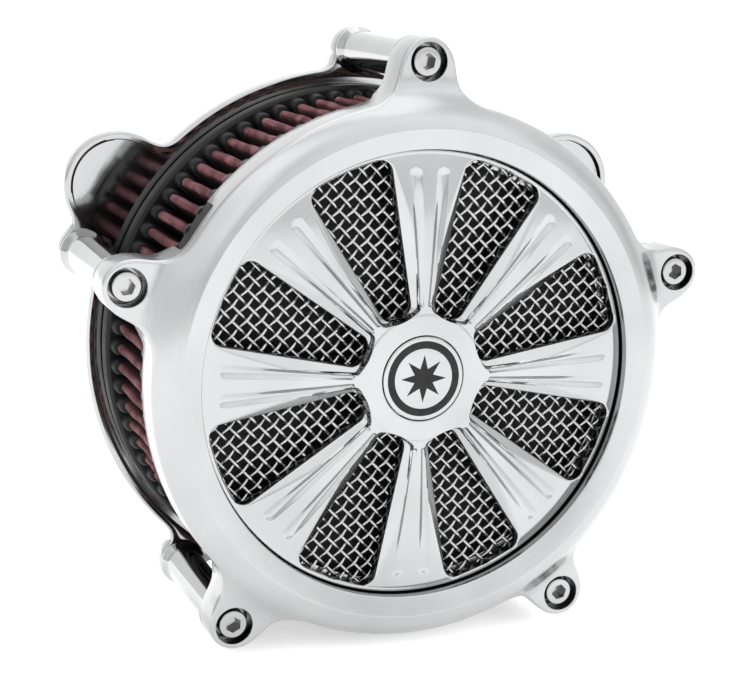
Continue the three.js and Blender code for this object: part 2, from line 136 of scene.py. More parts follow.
def boolean(obj, tools, operation="DIFFERENCE", sharp=30):
    """Cuts or joins helper meshes into a piece, then throws the helpers away."""
    for tool in tools:
        modifier = obj.modifiers.new("boolean", "BOOLEAN")
        modifier.object = tool
        modifier.operation = operation
        modifier.solver = "MANIFOLD"
    bpy.context.view_layer.update()
    result = bpy.data.meshes.new_from_object(obj.evaluated_get(bpy.context.evaluated_depsgraph_get()))
    obj.modifiers.clear()
    before = obj.data
    obj.data = result
    result.name = before.name
    bpy.data.meshes.remove(before)
    finish_mesh(result, sharp)
    for tool in tools:
        bpy.data.objects.remove(tool)


def paint(obj, material, chosen):
    """Gives a second material to the faces that a test picks by place and outward slope."""
    obj.data.materials.append(material)
    for face in obj.data.polygons:
        x, y, z = face.center
        local = ((x - AXIS_X) / MM, (z - AXIS_Z) / MM, (REAR_FACE_Y - y) / MM)
        if chosen(*local, -face.normal.y):
            face.material_index = len(obj.data.materials) - 1


def quarter(count):
    """Angles over a quarter turn, for rounding an edge."""
    return np.linspace(0, math.pi / 2, count)


def grid_faces(rows, columns, wrap_rows=False):
    """Quads between consecutive rows of points. Each row closes on itself."""
    i = np.arange(rows if wrap_rows else rows - 1)[:, None]
    j = np.arange(columns)[None, :]
    i2, j2 = (i + 1) % rows, (j + 1) % columns
    corners = [i * columns + j, i * columns + j2, i2 * columns + j2, i2 * columns + j]
    return np.stack(corners, axis=-1).reshape(-1, 4)


def rounded(points, closed=True, steps=4):
    """A profile whose (r, z, fillet) corners are replaced by arcs of that radius."""
    result = []
    n = len(points)
    for i, point in enumerate(points):
        p = np.array(point[:2], float)
        fillet = point[2] if len(point) > 2 else 0
        if fillet <= 0 or (not closed and i in (0, n - 1)):
            result.append(p)
            continue
        a = np.array(points[i - 1][:2], float) - p
        b = np.array(points[(i + 1) % n][:2], float) - p
        length_a, length_b = np.linalg.norm(a), np.linalg.norm(b)
        a, b = a / length_a, b / length_b
        half = math.acos(max(-1, min(1, float(a @ b)))) / 2
        reach = min(fillet / math.tan(half), 0.49 * length_a, 0.49 * length_b)
        radius = reach * math.tan(half)
        centre = p + (a + b) / np.linalg.norm(a + b) * radius / math.sin(half)
        start, end = p + a * reach - centre, p + b * reach - centre
        turn = math.atan2(start[0] * end[1] - start[1] * end[0], float(start @ end))
        for k in range(steps + 1):
            c, s = math.cos(turn * k / steps), math.sin(turn * k / steps)
            result.append(centre + (start[0] * c - start[1] * s, start[0] * s + start[1] * c))
    return np.array(result)


def turned(profile, segments, centre=(0, 0), closed=True):
    """Points and faces of a body of revolution. An open profile starts and ends on the axis."""
    angles = np.arange(segments) * TURN / segments
    ring = np.array(profile if closed else profile[1:-1], float)
    x = centre[0] + ring[:, :1] * np.cos(angles)
    y = centre[1] + ring[:, :1] * np.sin(angles)
    z = np.repeat(ring[:, 1:2], segments, axis=1)
    points = np.stack([x, y, z], axis=-1).reshape(-1, 3)
    faces = list(grid_faces(len(ring), segments, wrap_rows=closed))
    if closed:
        return points, faces
    for end, row in ((profile[0], 0), (profile[-1], len(ring) - 1)):
        tip, first = len(points), row * segments
        points = np.vstack([points, [*centre, end[1]]])
        faces += [[tip, first + j, first + (j + 1) % segments] for j in range(segments)]
    return points, faces


def revolve(node, profile, segments, material, centre=(0, 0), closed=True):
    """A turned piece that stands for a CAD node."""
    return stand_in(node, *turned(profile, segments, centre, closed), material)


def drum(name, radius, z0, z1, centre=(0, 0), segments=64, lip=None, spread=0):
    """A helper cylinder for cutting. It may flare below the height of a lip, to leave a rounded edge."""
    profile = [(0, z0), (radius, z0)]
    if lip:
        profile += [
            (radius + spread * (1 - math.cos(t)), lip - spread + spread * math.sin(t)) for t in quarter(6)
        ]
        radius += spread + 1e-3
    profile += [(radius, z1), (0, z1)]
    return piece(name, *turned(profile, segments, centre, closed=False))


def between(name, first, second, **options):
    """A solid between two outlines that have their points in the same order."""
    n = len(first)
    faces = [*grid_faces(2, n), range(n), range(n, 2 * n)]
    return piece(name, np.vstack([first, second]), faces, **options)


def prism(name, outline, z0, z1, **options):
    """A solid with straight sides from one height to another."""
    return between(name, *([(x, y, z) for x, y in outline] for z in (z0, z1)), **options)


def hex_drum(name, across_flats, z0, z1, centre, turn):
    """A helper hexagon for cutting or joining."""
    radius = across_flats / math.sqrt(3)
    angles = turn + np.arange(6) * TURN / 6
    ring = [(centre[0] + radius * math.cos(a), centre[1] + radius * math.sin(a)) for a in angles]
    return prism(name, ring, z0, z1)


def add_tube(points, faces, path, radius, sides, loop=False):
    """Appends a tube along a path to lists of points and faces."""
    if loop:
        tangent = np.roll(path, -1, axis=0) - np.roll(path, 1, axis=0)
    else:
        tangent = np.gradient(path, axis=0)
    tangent /= np.linalg.norm(tangent, axis=1, keepdims=True)
    reference = np.array([0, 0, 1.0]) if abs(tangent[:, 2]).mean() < 0.7 else np.array([1.0, 0, 0])
    side = np.cross(tangent, reference)
    side /= np.linalg.norm(side, axis=1, keepdims=True)
    up = np.cross(side, tangent)
    start = sum(len(p) for p in points)
    a = np.arange(sides) * TURN / sides
    ring = path[:, None] + radius * (
        np.cos(a)[None, :, None] * side[:, None] + np.sin(a)[None, :, None] * up[:, None]
    )
    points.append(ring.reshape(-1, 3))
    faces.extend(grid_faces(len(path), sides, wrap_rows=loop) + start)
    if not loop:
        last = start + (len(path) - 1) * sides
        faces.append(range(start, start + sides))
        faces.append(range(last, last + sides))


# ---------------------------------------------------------------- outlines


def soft_min(a, b, blend):
    """The lower of two values, rounded where they cross. On distances it blends two shapes into one."""
    overlap = np.maximum(blend - np.abs(a - b), 0) / blend
    return np.minimum(a, b) - overlap**2 * blend / 4


def smoothstep(low, high, value):
    t = np.clip((value - low) / (high - low), 0, 1)
    return t * t * (3 - 2 * t)


def lobed_disc(radius, lobes, blend):
    """Distance to a disc with round lobes blended into it."""

    def distance(x, y):
        result = np.hypot(x, y) - radius
        for lobe_x, lobe_y, lobe_radius in lobes:
            result = soft_min(result, np.hypot(x - lobe_x, y - lobe_y) - lobe_radius, blend)
        return result

    return distance


def radius_at(distance, angles, reach=130):
    """Where a star-shaped outline crosses each direction."""
    inside, outside = np.zeros_like(angles), np.full_like(angles, reach)
    for _ in range(40):
        middle = (inside + outside) / 2
        within = distance(middle * np.cos(angles), middle * np.sin(angles)) < 0
        inside, outside = np.where(within, middle, inside), np.where(within, outside, middle)
    return inside


def trace(distance, fine, coarse, lobes, near_lobe=9):
    """Outline points spaced finely on the lobes and coarsely elsewhere, with their outward normals,
    their directions and their radii."""
    angles = np.linspace(0, TURN, 40000, endpoint=False)
    radii = radius_at(distance, angles)
    dense = np.stack([radii * np.cos(angles), radii * np.sin(angles)], axis=1)
    step = np.linalg.norm(np.roll(dense, -1, axis=0) - dense, axis=1)
    gap = np.min([np.hypot(dense[:, 0] - x, dense[:, 1] - y) - r for x, y, r in lobes], axis=0)
    weight = step / np.where(gap < near_lobe, fine, coarse)
    travelled = np.concatenate([[0], np.cumsum(weight)])
    count = int(travelled[-1])
    picks = np.interp(np.arange(count) * travelled[-1] / count, travelled, np.arange(len(travelled)))
    theta = picks * TURN / len(dense)
    r = radius_at(distance, theta)
    x, y = r * np.cos(theta), r * np.sin(theta)
    nudge = 1e-3
    slope_x = distance(x + nudge, y) - distance(x - nudge, y)
    slope_y = distance(x, y + nudge) - distance(x, y - nudge)
    normals = np.stack([slope_x, slope_y], axis=1)
    normals /= np.linalg.norm(normals, axis=1, keepdims=True)
    return np.stack([x, y], axis=1), normals, theta, r


def inset_row(points, normals, inset, z):
    """An outline moved inwards along its normals, at a height. Both may vary from point to point."""
    count = len(points)
    moved = points - normals * np.broadcast_to(inset, (count,))[:, None]
    return np.column_stack([moved, np.broadcast_to(z, (count,))])


def spread_angles(theta, share, window=41):
    """Column directions for a circle inside an outline: partly even, so columns fan out under lobes."""
    even = np.arange(len(theta)) * TURN / len(theta)
    offset = np.unwrap(theta) - even
    kernel = np.hanning(window + 2)[1:-1]
    padded = np.concatenate([offset[-window:], offset, offset[:window]])
    smooth = np.convolve(padded, kernel / kernel.sum(), mode="same")[window:-window]
    return even + (1 - share) * offset + share * smooth


def circle_points(angles, radius, z):
    """Points at angles round the axis. Radius and z may vary from point to point."""
    z = np.broadcast_to(z, angles.shape)
    return np.stack([radius * np.cos(angles), radius * np.sin(angles), z], axis=1)


# ---------------------------------------------------------------- materials


class Nodes:
    """Short ways to add nodes to a tree."""

    def __init__(self, tree):
        self.tree = tree

    def feed(self, node, inputs):
        """Links a socket where the value is another node's output, and otherwise sets it."""
        for key, value in inputs.items():
            if isinstance(value, bpy.types.NodeSocket):
                self.tree.links.new(value, node.inputs[key])
            else:
                node.inputs[key].default_value = value

    def node(self, kind, inputs, **settings):
        n = self.tree.nodes.new(kind)
        for key, value in settings.items():
            setattr(n, key, value)
        self.feed(n, inputs)
        return n

    def math(self, operation, *values):
        return self.node("ShaderNodeMath", dict(enumerate(values)), operation=operation).outputs[0]


class Surface(Nodes):
    """A Principled material, and patterns laid over it in the object's own coordinates."""

    def __init__(self, name, colour, roughness, metallic, **settings):
        self.material = bpy.data.materials.new(name)
        self.material.use_nodes = True
        super().__init__(self.material.node_tree)
        self.drive("Base Color", (*colour, 1))
        self.drive("Roughness", roughness)
        self.drive("Metallic", metallic)
        for key, value in settings.items():
            self.drive(key.replace("_", " "), value)
        self.place = self.node("ShaderNodeTexCoord", {}).outputs["Object"]

    def drive(self, socket, value):
        self.feed(self.tree.nodes["Principled BSDF"], {socket: value})

    def noise(self, scale, detail=2.0, roughness=0.5, vector=None):
        inputs = {"Scale": scale, "Detail": detail, "Roughness": roughness, "Vector": vector or self.place}
        return self.node("ShaderNodeTexNoise", inputs).outputs["Fac"]

    def spread(self, value, low, high, to_low, to_high):
        inputs = {"Value": value, "From Min": low, "From Max": high, "To Min": to_low, "To Max": to_high}
        return self.node("ShaderNodeMapRange", inputs).outputs["Result"]

    def ramp(self, value, stops):
        n = self.node("ShaderNodeValToRGB", {"Fac": value})
        while len(n.color_ramp.elements) < len(stops):
            n.color_ramp.elements.new(0.5)
        for element, (position, colour) in zip(n.color_ramp.elements, stops):
            element.position = position
            element.color = (*colour, 1)
        return n.outputs["Color"]

    def bump(self, height, strength, distance):
        n = self.node("ShaderNodeBump", {"Height": height, "Strength": strength, "Distance": distance})
        self.drive("Normal", n.outputs["Normal"])

    def mottle(self, cloud, roughness, colours):
        """Lets roughness and colour wander with a noise, each between two values."""
        self.drive("Roughness", self.spread(cloud, 0.3, 0.7, *roughness))
        self.drive("Base Color", self.ramp(cloud, [(0.3, colours[0]), (0.7, colours[1])]))

    def round_axis(self):
        """The angle round the air cleaner's axis, the distance from it and the place along it."""
        split = self.node("ShaderNodeSeparateXYZ", {0: self.place}).outputs
        x, z = self.math("SUBTRACT", split["X"], AXIS_X), self.math("SUBTRACT", split["Z"], AXIS_Z)
        squares = self.math("ADD", self.math("MULTIPLY", x, x), self.math("MULTIPLY", z, z))
        return self.math("ARCTAN2", z, x), self.math("SQRT", squares), split["Y"]

    def polar(self, around, across):
        """Coordinates that run round the axis, for marks left by turning and brushing."""
        angle, radius, along = self.round_axis()
        scaled = ((radius, across), (angle, around), (along, across))
        inputs = dict(enumerate(self.math("MULTIPLY", *pair) for pair in scaled))
        return self.node("ShaderNodeCombineXYZ", inputs).outputs[0]


def metal(name, colour, roughness, haze, brush=None, ripple=1.0):
    """Plated metal: roughness wanders with handling haze, and fine polishing marks lie on it. A brush,
    as scales around and across, turns the marks round the axis. Ripple is how wavy the surface is."""
    s = Surface(name, colour, roughness, 1)
    marks = s.noise(1.0, 3, 0.6, s.polar(*brush)) if brush else s.noise(900, 2)
    cloud = s.noise(22, 3, 0.55)
    hazy = s.spread(cloud, 0.3, 0.7, roughness - haze, roughness + haze)
    scratched = s.spread(marks, 0.3, 0.7, -haze, haze)
    s.drive("Roughness", s.math("MAXIMUM", s.math("ADD", hazy, scratched), 0.02))
    dark, light = (tuple(c * shade for c in colour) for shade in (0.92, 1.05))
    s.drive("Base Color", s.ramp(cloud, [(0.35, dark), (0.65, light)]))
    waves = s.math("MULTIPLY", s.noise(48, 2, 0.4), ripple)
    s.bump(s.math("ADD", s.math("MULTIPLY", marks, 0.06), waves), 1, 0.00004)
    return s.material


def rubber_material():
    s = Surface("moulded_rubber", (0.012, 0.012, 0.0125), 0.36, 0, Specular_IOR_Level=0.12)
    s.mottle(s.noise(45, 3), (0.28, 0.42), [(0.008, 0.008, 0.0085), (0.016, 0.016, 0.0165)])
    s.bump(s.noise(1400, 3), 0.25, 0.00015)
    return s.material


def enamel_material():
    s = Surface("black_enamel", (0.008, 0.008, 0.009), 0.25, 0, Specular_IOR_Level=0.15)
    cloud = s.noise(300, 3)
    s.mottle(cloud, (0.2, 0.34), [(0.009, 0.009, 0.01), (0.016, 0.016, 0.017)])
    s.bump(cloud, 0.1, 0.0001)
    return s.material


def gauze_material():
    """Oiled cotton gauze: an open diagonal weave, pink threads over darker wine-red oil. Painted shade
    darkens the colour towards the folds' valleys.
    """
    pleat_middle, thread_pitch = 0.0855, 0.002
    s = Surface("oiled_gauze", (0.35, 0.12, 0.14), 0.8, 0, Specular_IOR_Level=0.15)
    angle, radius, along = s.round_axis()
    sideways = s.math("ADD", s.math("MULTIPLY", angle, pleat_middle), radius)
    wander = s.math("MULTIPLY", s.noise(260, 2), 0.0009)
    threads = []
    for lean in ("ADD", "SUBTRACT"):
        across = s.math("ADD", s.math(lean, sideways, along), wander)
        threads.append(s.math("SINE", s.math("MULTIPLY", across, TURN / thread_pitch)))
    weave = s.math("MAXIMUM", *threads)
    stains = s.noise(160, 3, 0.6)
    height = s.math("ADD", s.math("MULTIPLY", weave, 0.5), s.math("MULTIPLY", stains, 0.4))
    # Painted shade: the colour darkens towards the folds' valleys, at smaller radius.
    fold_painted_shade = s.spread(radius, 0.0805, 0.0849, 0.45, 1)
    colour = s.ramp(
        s.math("MULTIPLY", s.spread(height, -0.2, 0.85, 0, 1), fold_painted_shade),
        [
            (0.3, (0.002, 0.001, 0.001)),
            (0.62, (0.02, 0.004, 0.006)),
            (0.8, (0.17, 0.055, 0.062)),
            (0.95, (0.55, 0.28, 0.3)),
        ],
    )
    s.drive("Base Color", colour)
    s.bump(height, 0.8, 0.0004)
    return s.material


CHROME = (0.36, 0.363, 0.366)
polished = metal("polished_chrome", CHROME, 0.1, 0.03, (6, 2600), 3.0)
brushed = metal("brushed_chrome", CHROME, 0.21, 0.05, (8, 3200), 6.0)
# A darker copy of chrome for the insert's window walls and the screws' hex sockets: painted shade.
painted_shade_chrome = metal("walls_in_painted_shade", (0.11, 0.11, 0.113), 0.2, 0.05)
# Near-black chrome for the ring's wall beside the insert and the notches' inner faces: painted shade.
shadow_gap = metal("shadow_gap", (0.012, 0.012, 0.012), 0.5, 0.05)
plated_steel = metal("plated_steel", (0.34, 0.34, 0.343), 0.16, 0.04)
screen_wire = metal("screen_wire", (0.38, 0.38, 0.38), 0.25, 0.05)
copper_metal = metal("copper_washer", (0.66, 0.35, 0.2), 0.28, 0.06)
moulded_rubber = rubber_material()
gauze = gauze_material()
enamel = enamel_material()

SLOT_MATERIALS = {
    "plated_aluminium": polished,
    "screw_steel": plated_steel,
    "wire_steel": screen_wire,
    "moulded_rubber": moulded_rubber,
    "cotton_gauze": gauze,
    "black_enamel": enamel,
    "copper": copper_metal,
}
for node_name, slot_name in SLOTS.items():
    slots = frame["nodes"][node_name].data.materials
    slots.clear()
    slots.append(SLOT_MATERIALS[slot_name])


# ---------------------------------------------------------------- screws

POST_SCREW = dict(head=4.9, base=3.3, top=0.4, tip=19.8, hexagon=4, depth=1.8, facing=-1)
INTAKE_SCREW = dict(head=4.7, base=8.6, top=14.6, tip=-18, hexagon=4.8, depth=3)
COVER_SCREW = dict(head=4.75, base=63.2, top=69.3, tip=45.6, hexagon=4.8, depth=3.2)
COVER_SCREW_TURNS = (0.35, 0.12, 0.5, 0.25, 0.6)  # how each screw's hexagon came to rest


def threaded(shank, start, end, pitch=1.27, depth=0.35):
    """A thread drawn as fine rings: (r, z) from start to end."""
    turns = int(abs(end - start) / pitch)
    step = (end - start) / turns
    profile = []
    for k in range(turns):
        profile += [(shank - depth, start + step * k), (shank, start + step * (k + 0.5))]
    return profile


def screw(node, centre, head, base, top, tip, hexagon, depth, facing=1, turn=0.2):
    """A socket head cap screw: the head's radius, base and top, the tip, and the socket's width and
    depth. The head faces forwards, or to the rear with facing -1."""
    low, high, end = base * facing, top * facing, tip * facing
    profile = [(0, end), (SHANK - 0.8, end)]
    profile += threaded(SHANK, end + 0.6, low - 1)
    profile.append((SHANK, low - 0.6))
    profile += list(rounded([(SHANK, low), (head, low, 0.2), (head, high, 0.7), (0, high)], closed=False))
    points, faces = turned(profile, 96, centre, closed=False)
    points[:, 2] *= facing
    obj = stand_in(node, points, faces, plated_steel)
    z0, z1 = sorted((top - facing * depth, top + facing))
    boolean(obj, [hex_drum(f"{node}_hex", hexagon, z0, z1, centre, turn)])
    corner = hexagon / math.sqrt(3)

    # The socket's walls get the darker chrome: painted shade.
    def in_socket(x, y, z, outward):
        return math.hypot(x - centre[0], y - centre[1]) < corner and abs(outward) < 0.5

    paint(obj, painted_shade_chrome, in_socket)


# ---------------------------------------------------------------- backplate

PLATE_REAR = -4  # z of the intake boss's and the breather pads' rear faces


def backplate():
    """A dished plate with a thin lip, lobed where the breather bolts vent, and flat pads at its ears."""
    radius, blend, wall, floor, lip = 93.8, 8, 2.6, 4, 6.2
    boss, bore, foot, edge = 46, 26, 0.6, 0.9
    outline = lobed_disc(radius, EARS + BREATHER_LOBES, blend)
    pocket = lobed_disc(radius, BREATHER_LOBES, blend)
    points, normals, theta, _ = trace(outline, 0.9, 2.6, EARS + BREATHER_LOBES)
    inner_angle = spread_angles(theta, 0.6)
    inner_radius = radius_at(lambda x, y: pocket(x, y) + wall, inner_angle)

    def rim(inset, z):
        return inset_row(points, normals, inset, z)

    def well(inset, z):
        return circle_points(inner_angle, inner_radius - inset, z)

    rows = [circle_points(inner_angle, boss + 2, 0), rim(3, 0)]
    rows += [rim(foot * (1 - math.sin(t)), foot * (1 - math.cos(t))) for t in quarter(4)]
    rows += [rim(edge * (1 - math.cos(t)), lip - edge * (1 - math.sin(t))) for t in quarter(6)]
    outer_top, inner_top = rim(edge, lip), well(-0.35, lip)
    rows += [outer_top + (inner_top - outer_top) * share for share in (0.25, 0.5, 0.75, 1)]
    rows += [well(-0.1, lip - 0.12), well(0, lip - 0.35), well(0, floor + 0.5)]
    rows += [well(0.15, floor + 0.15), well(0.5, floor), well(0.8, floor), well(2, floor)]
    intake_boss = [(bore, floor, 0.3), (bore, PLATE_REAR, 0.3), (boss, PLATE_REAR, 0.6), (boss, 0, 0.4)]
    inside = [(80, floor), (55, floor), *rounded(intake_boss, closed=False)]
    rows += [circle_points(inner_angle, r, z) for r, z in inside]
    plate = stand_in("backplate", np.vstack(rows), grid_faces(len(rows), len(theta), True), polished)

    pad = rounded([(0, 1), (12, 1), (12, PLATE_REAR, 0.6), (0, PLATE_REAR)], closed=False)
    pads = [piece(f"pad_{i}", *turned(pad, 64, p, False)) for i, p in enumerate(BREATHER_BOLTS)]
    boolean(plate, pads, "UNION")
    tools = [drum(f"vent_{i}", 6.5, -9, 9, p) for i, p in enumerate(BREATHER_BOLTS)]
    for i, (x, y, _) in enumerate(EARS):
        tools.append(drum(f"counterbore_{i}", 5.4, -1, 3.6, (x, y)))
        tools.append(drum(f"post_hole_{i}", CLEARANCE, 3, 9, (x, y)))
    tools += [drum(f"intake_hole_{i}", CLEARANCE, -9, 9, p) for i, p in enumerate(INTAKE_SCREWS)]
    boolean(plate, tools)


def posts():
    """Turned posts, waisted between two flared ends, with the screws that hold them from behind."""
    base, top, waist, flare, hole = 6.5, 57.7, 6.4, 7.9, 3.4
    profile = rounded(
        [
            (0, 24),
            (hole, 22.5),
            (hole, base, 0.2),
            (flare, base, 0.35),
            (flare, base + 1.3, 0.8),
            (waist, base + 4.2, 3),
            (waist, top - 4.2, 3),
            (flare, top - 1.3, 0.8),
            (flare, top, 0.35),
            (hole, top, 0.2),
            (hole, 41.5),
            (0, 40),
        ],
        closed=False,
    )
    for i, (x, y, _) in enumerate(EARS, 1):
        revolve(f"post_{i}", profile, 96, polished, (x, y), closed=False)
        screw(f"post_screw_{i}", (x, y), **POST_SCREW)


# ---------------------------------------------------------------- intake and breather fittings


def intake():
    """The bell-mouth ring inside the backplate, its gasket behind it and its three screws."""
    bore, seat, flange, throat = 26, 4.3, 8.3, 28.4
    profile = rounded(
        [
            (bore, seat, 0.3),
            (41, seat, 0.3),
            (41, flange, 0.8),
            (throat, flange, 1.2),
            (throat, 17, 2),
            (30.6, 20.2, 0.7),
            (29.6, 21, 0.6),
            (27.6, 19.6, 1.5),
            (26.4, 17, 3),
        ]
    )
    ring = revolve("intake_ring", profile, 192, polished)
    boolean(ring, [drum(f"clearance_{i}", CLEARANCE, 0, 20, p) for i, p in enumerate(INTAKE_SCREWS)])
    seal = rounded([(r, z, 0.3) for r, z in ((26.3, -4), (29.6, -4), (29.6, -2.5), (26.3, -2.5))])
    revolve("intake_gasket", seal, 160, moulded_rubber)
    for i, place in enumerate(INTAKE_SCREWS, 1):
        screw(f"intake_screw_{i}", place, **INTAKE_SCREW)


def breathers():
    """Two hollow hex bolts, each on a copper sealing washer."""
    seat, shank, bore, head_height = 6.1, 6.2, 3.5, 6
    top = seat + head_height
    stem = [(bore, -20), (shank - 0.8, -20), *threaded(shank, -19.2, 3)]
    stem += [(shank, 4.2), (shank, seat + 0.8), (bore, seat + 0.8)]
    dome = rounded([(0, seat), (9.9, seat, 0.3), (9.9, top, 1.6), (0, top)], closed=False)
    washer = rounded([(6.5, 4.3, 0.2), (9.8, 4.3, 0.3), (9.8, 5.8, 0.3), (6.5, 5.8, 0.2)])
    for side, place in zip(("left", "right"), BREATHER_BOLTS):
        bolt = revolve(f"breather_bolt_{side}", stem, 96, plated_steel, place)
        head = hex_drum(f"hex_{side}", 17.4, seat, top, place, 0.3)
        boolean(head, [piece(f"dome_{side}", *turned(dome, 96, place, False))], "INTERSECT")
        boolean(head, [drum(f"bore_{side}", bore, seat - 1, seat + 9, place)])
        boolean(bolt, [head], "UNION")
        revolve(f"breather_washer_{side}", washer, 96, copper_metal, place)


# ---------------------------------------------------------------- filter element

PLEATS = 78
PLEAT_PITCH = TURN / PLEATS


def pleats(crest, valley, half_width, steps=8):
    """The pleats' outside as (radius, angle): round crests on straight sides that meet in the valleys."""
    pleat = [(valley, -PLEAT_PITCH / 2)]
    for k in range(steps + 1):
        t = math.pi * k / steps
        x = crest - half_width + half_width * math.sin(t)
        y = -half_width * math.cos(t)
        pleat.append((math.hypot(x, y), math.atan2(y, x)))
    return np.array([(r, a + i * PLEAT_PITCH) for i in range(PLEATS) for r, a in pleat])


def media():
    """Folded gauze. Its inner folds stand on the inner screen."""
    radius, angle = pleats(85.4, 73.5, 1.6).T
    heights = np.linspace(12.2, 56.8, 12)
    rows = []
    for z in heights:
        # The folds wander a little along their length.
        sway = 0.16 * np.sin(angle * 23 + z * 0.21) + 0.1 * np.sin(angle * 61 - z * 0.4)
        twist = 0.0012 * np.sin(angle * 37 + z * 0.3)
        rows.append(circle_points(angle + twist, radius + sway * (radius > 80), z))
    inner = 67.6 + 1.6 * (1 - np.cos((angle + PLEAT_PITCH / 2) * PLEATS)) / 2
    rows += [circle_points(angle, inner, z) for z in heights[::-3]]
    faces = grid_faces(len(rows), len(angle), wrap_rows=True)
    stand_in("pleated_media", np.vstack(rows), faces, gauze, sharp=50)


def boots(z_base, height):
    """Rubber moulded round the pleats' ends: a rounded collar on every fold, joined in one ring. A
    height below zero makes them hang to the rear."""
    levels = [(0, 0), (0.55, 0), (0.75, 0.12), (0.9, 0.35), (0.98, 0.7), (1.0, 1.15)]
    rows = []
    for share, inset in levels:
        radius, angle = pleats(87.2 - inset, 74.5, 2.9 - inset, 10).T
        rows.append(circle_points(angle, radius, z_base + height * share))
    angles = np.arctan2(rows[0][:, 1], rows[0][:, 0])
    rows += [circle_points(angles, 70, z_base + height * share) for share in (0.8, 0)]
    return np.vstack(rows), grid_faces(len(rows), len(angles), wrap_rows=True)


def end_cap(node, profile, closed, boots_from, boots_height):
    """A moulded rubber cap: the turned cap itself, and the boots that grip the pleats."""
    points, faces = turned(profile, 256, closed=closed)
    boot_points, boot_faces = boots(boots_from, boots_height)
    faces += list(boot_faces + len(points))
    stand_in(node, np.vstack([points, boot_points]), faces, moulded_rubber, sharp=40)


def end_caps():
    """The open cap at the rear and the closed one in front."""
    bore, low, high = 65.3, 4.3, 11.6
    rear = [
        (bore, low, 0.8),
        (87.3, low, 0.5),
        (88.3, 5.1, 0.5),
        (88.3, 11.2, 0.4),
        (87.3, 12, 0.6),
        (82, high, 0.5),
        (bore, high, 0.8),
    ]
    end_cap("rear_end_cap", rounded(rear), True, 11.4, 5.6)
    low, high, dish, radius = 57, 66.4, 61, 86.8
    front = [
        (0, low),
        (radius, low, 0.5),
        (radius, high, 0.9),
        (76, high, 0.9),
        (73, dish, 1.2),
        (20, dish, 0.6),
        (18, dish - 0.8, 0.6),
        (0, dish - 0.8),
    ]
    end_cap("front_end_cap", rounded(front, closed=False), False, 57.4, -4.2)


def inner_screen():
    """A tube of woven wire inside the pleats."""
    radius, crimp, wire, sides = 66.5, 0.28, 0.3, 5
    low, high, spacing, around = 12.4, 56.6, 4.4, 96
    points, faces = [], []
    for k in range(around):
        a = k * TURN / around
        z = np.arange(low, high, spacing / 4)
        r = radius + crimp * np.cos(math.pi * (z - low) / spacing + math.pi * k)
        path = np.stack([r * math.cos(a), r * math.sin(a), z], axis=1)
        add_tube(points, faces, path, wire, sides)
    a = np.arange(around * 4) * TURN / (around * 4)
    for k, z in enumerate(np.arange(low + spacing / 2, high, spacing)):
        r = radius - crimp * np.cos(around * a / 2 + math.pi * (k % 2))
        add_tube(points, faces, circle_points(a, r, z), wire, sides, loop=True)
    stand_in("inner_screen", np.vstack(points), faces, screen_wire, sharp=80)


# ---------------------------------------------------------------- front cover

INSERT_RADIUS = 73.6  # of the ring's opening round the face insert
NOTCH_ANGLE, NOTCH_TOP = 33.5, 69.6

# The ring's top as radius and height: the crease, the bevel, and the ears' flat pads
TOP_SECTION = [
    (INSERT_RADIUS, 78.2), (78, 79.14), CREASE, (82.4, 78.78), (84.6, 77.5), (86.6, 75.85),
    (88.4, 74.1), (90, 72.65), (91.6, 71.55), (93.2, 70.85), (95, 70.55), (98, 70.5), (120, 70.5),
]


def smoothed_section(section, sharp_to, window=259):
    """A section's radii and heights, sampled finely and smoothed beyond a radius."""
    r = np.linspace(section[0][0], section[-1][0], 4000)
    z = np.interp(r, *np.transpose(section))
    kernel = np.hanning(window)
    smooth = np.convolve(np.pad(z, window // 2, mode="edge"), kernel / kernel.sum(), mode="valid")
    return r, np.where(r > sharp_to, smooth, z)


